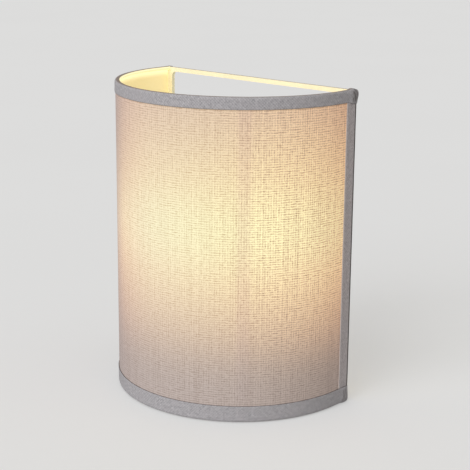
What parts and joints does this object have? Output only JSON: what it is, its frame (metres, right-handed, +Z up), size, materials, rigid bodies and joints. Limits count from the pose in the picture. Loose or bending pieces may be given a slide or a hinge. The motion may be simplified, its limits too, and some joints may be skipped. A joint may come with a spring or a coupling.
{
  "type": "wall light",
  "caption": "Half-round wall light: a linen-look fabric shade with taped rims on a white wire frame, hung on a wall canopy with one screw-in bulb.",
  "frame": {"origin": "centre of the two wall-screw slots, on the wall plane behind the light", "axes": "+Z up, +Y into the wall, -Y into the room, +X to the right seen from the room"},
  "size_m": [0.2, 0.12, 0.25],
  "materials": {
    "zinc_steel": "zinc-plated, satin",
    "black_rubber": "matt",
    "white_paint": "satin white powder coat",
    "ivory_plastic": "moulded",
    "brass": "plain",
    "tinned_copper": "tinned",
    "earth_insulation": "green with a yellow stripe",
    "brown_insulation": "plain",
    "blue_insulation": "plain",
    "holder_plastic": "moulded",
    "porcelain": "glazed",
    "opal_glass": "opal white",
    "bulb_plastic": "moulded",
    "nickel": "nickel-plated",
    "black_glass": "fused",
    "lining": "smooth white sheet",
    "linen": "plain-woven linen look",
    "tape": "bias tape"
  },
  "bodies": {
    "wall_unit": {"wall_plate": "zinc_steel", "cable_grommet": "black_rubber", "hanging_studs": "zinc_steel", "canopy": "white_paint", "canopy_nuts": "zinc_steel", "terminal_block": "ivory_plastic", "terminal_tubes": "brass", "terminal_screws": "zinc_steel", "terminal_block_screw": "zinc_steel", "earth_screw": "brass", "earth_tag": "tinned_copper", "earth_lead": "earth_insulation", "live_lead": "brown_insulation", "neutral_lead": "blue_insulation", "lamp_arm": "white_paint", "arm_collar": "white_paint", "arm_nut": "zinc_steel", "holder_base": "holder_plastic", "holder_skirt": "holder_plastic", "holder_insulator": "porcelain", "holder_screw_shell": "brass", "holder_contact": "brass"},
    "shade": {"back_frame": "white_paint", "top_ring": "white_paint", "bottom_ring": "white_paint", "front_strut_left": "white_paint", "front_strut_right": "white_paint", "hanging_strap": "white_paint", "lining": "lining", "fabric_cover": "linen", "top_tape": "tape", "bottom_tape": "tape", "side_tape_left": "tape", "side_tape_right": "tape"},
    "bulb": {"bulb_envelope": "opal_glass", "bulb_collar": "bulb_plastic", "bulb_cap": "nickel", "bulb_insulator": "black_glass", "bulb_eyelet": "tinned_copper"},
    "left_nut": {"knurled_nut_left": "nickel"},
    "right_nut": {"knurled_nut_right": "nickel"}
  },
  "joints": [
    {"name": "shade_lift", "type": "slide", "parent": "wall_unit", "child": "shade", "axis": [0, 0, 1], "range_m": [0, 0.014]},
    {"name": "left_nut_turn", "type": "hinge", "parent": "wall_unit", "child": "left_nut", "pos_m": [-0.03, -0.033, 0.04], "axis": [0, -1, 0], "range_deg": [0, 1440]},
    {"name": "right_nut_turn", "type": "hinge", "parent": "wall_unit", "child": "right_nut", "pos_m": [0.03, -0.033, 0.04], "axis": [0, -1, 0], "range_deg": [0, 1440]},
    {"name": "bulb_turn", "type": "hinge", "parent": "wall_unit", "child": "bulb", "pos_m": [0, -0.062, 0.02], "axis": [0, 0, 1], "range_deg": [0, 900]}
  ]
}
